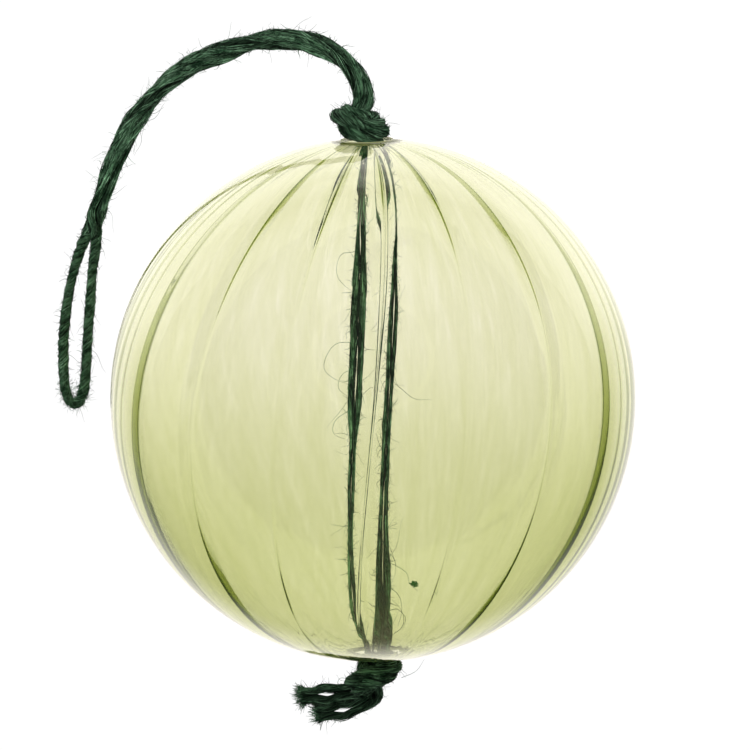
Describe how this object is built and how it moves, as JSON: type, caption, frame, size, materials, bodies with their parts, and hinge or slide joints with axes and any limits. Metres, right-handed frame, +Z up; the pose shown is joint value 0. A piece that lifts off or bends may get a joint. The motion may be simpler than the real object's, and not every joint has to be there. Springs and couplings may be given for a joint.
{
  "type": "glass orb ornament",
  "caption": "Ribbed blown-glass orb with a hole at each pole, threaded on a doubled jute twine that is knotted at both holes and ends in a hanging loop.",
  "frame": {"origin": "middle of the small flat spot that the orb rests on, on the surface", "axes": "+Z up; +Y along the orb's pole axis, from the hole with the cut ends to the hole with the hanging loop; the loop lies on the surface on the -X side"},
  "size_m": [0.1357, 0.1619, 0.1185],
  "materials": {
    "glass": "clear pale green blown glass, gloss",
    "twine": "hairy dark green jute, matt"
  },
  "bodies": {
    "root": {"glass_orb": "glass", "twine_loop": "twine", "top_knot": "twine", "strand_left": "twine", "strand_right": "twine", "bottom_knot": "twine", "tail_upper": "twine", "tail_lower": "twine"}
  },
  "joints": []
}
